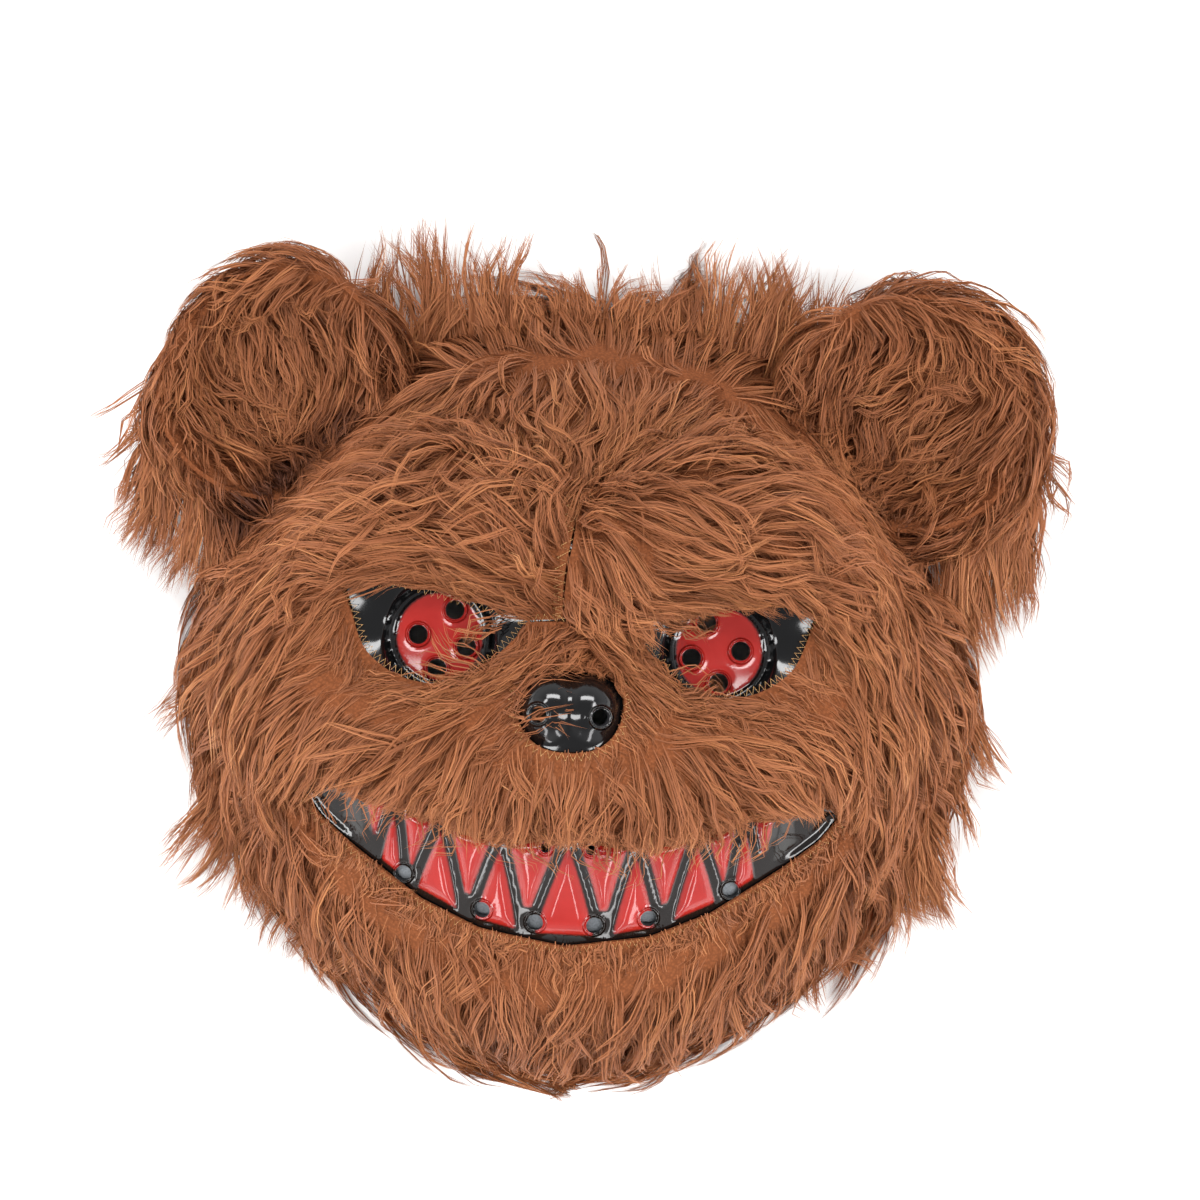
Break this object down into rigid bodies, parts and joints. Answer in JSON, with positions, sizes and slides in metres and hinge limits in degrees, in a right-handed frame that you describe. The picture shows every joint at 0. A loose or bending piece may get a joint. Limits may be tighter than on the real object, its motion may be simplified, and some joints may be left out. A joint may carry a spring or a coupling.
{
  "type": "bear mask",
  "caption": "Furry bear mask: thin moulded face with round eyes, nose and pointed teeth, plush cover, cupped ears and elastic strap.",
  "frame": {"origin": "middle of the mask's box in plan, on the surface that its open back rests on", "axes": "+Z out of the face, +Y towards the crown and ears, +X to the viewer's right"},
  "size_m": [0.287, 0.256, 0.0882],
  "materials": {
    "face_plastic": "glossy black, painted red on the eye discs and teeth",
    "fur": "long-pile chestnut faux fur",
    "elastic": "flat knitted elastic",
    "steel": "bare wire"
  },
  "bodies": {
    "root": {"face_shell": "face_plastic", "face_plush": "fur", "brow_left": "fur", "brow_right": "fur", "crown_plush": "fur", "ear_left": "fur", "ear_right": "fur", "strap": "elastic", "strap_staple_left": "steel", "strap_staple_right": "steel"}
  },
  "joints": []
}
